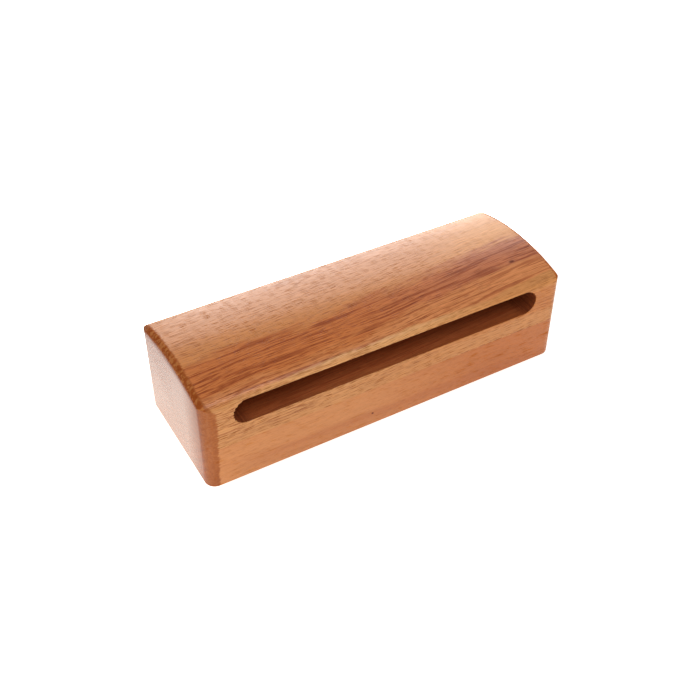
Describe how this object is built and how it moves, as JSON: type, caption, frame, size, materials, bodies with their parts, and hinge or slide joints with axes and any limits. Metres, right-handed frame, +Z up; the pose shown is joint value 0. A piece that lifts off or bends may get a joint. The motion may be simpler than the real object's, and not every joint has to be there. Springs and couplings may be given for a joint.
{
  "type": "woodblock",
  "caption": "Rectangular woodblock of lacquered hardwood: boards glued face to face, an arched striking top rounded over at both ends, rounded edges and a long sounding slot in the front.",
  "frame": {"origin": "centre of the flat base, on the surface that the block stands on", "axes": "+X along the block, +Z up, and the slot opens towards -Y"},
  "size_m": [0.2, 0.071, 0.056],
  "materials": {
    "base_wood": "clear satin lacquer over smooth, straight-grained hardwood",
    "slotted_wood": "clear satin lacquer over streaked, open-pored hardwood"
  },
  "bodies": {
    "root": {"base_board": "base_wood", "slotted_board": "slotted_wood"}
  },
  "joints": []
}
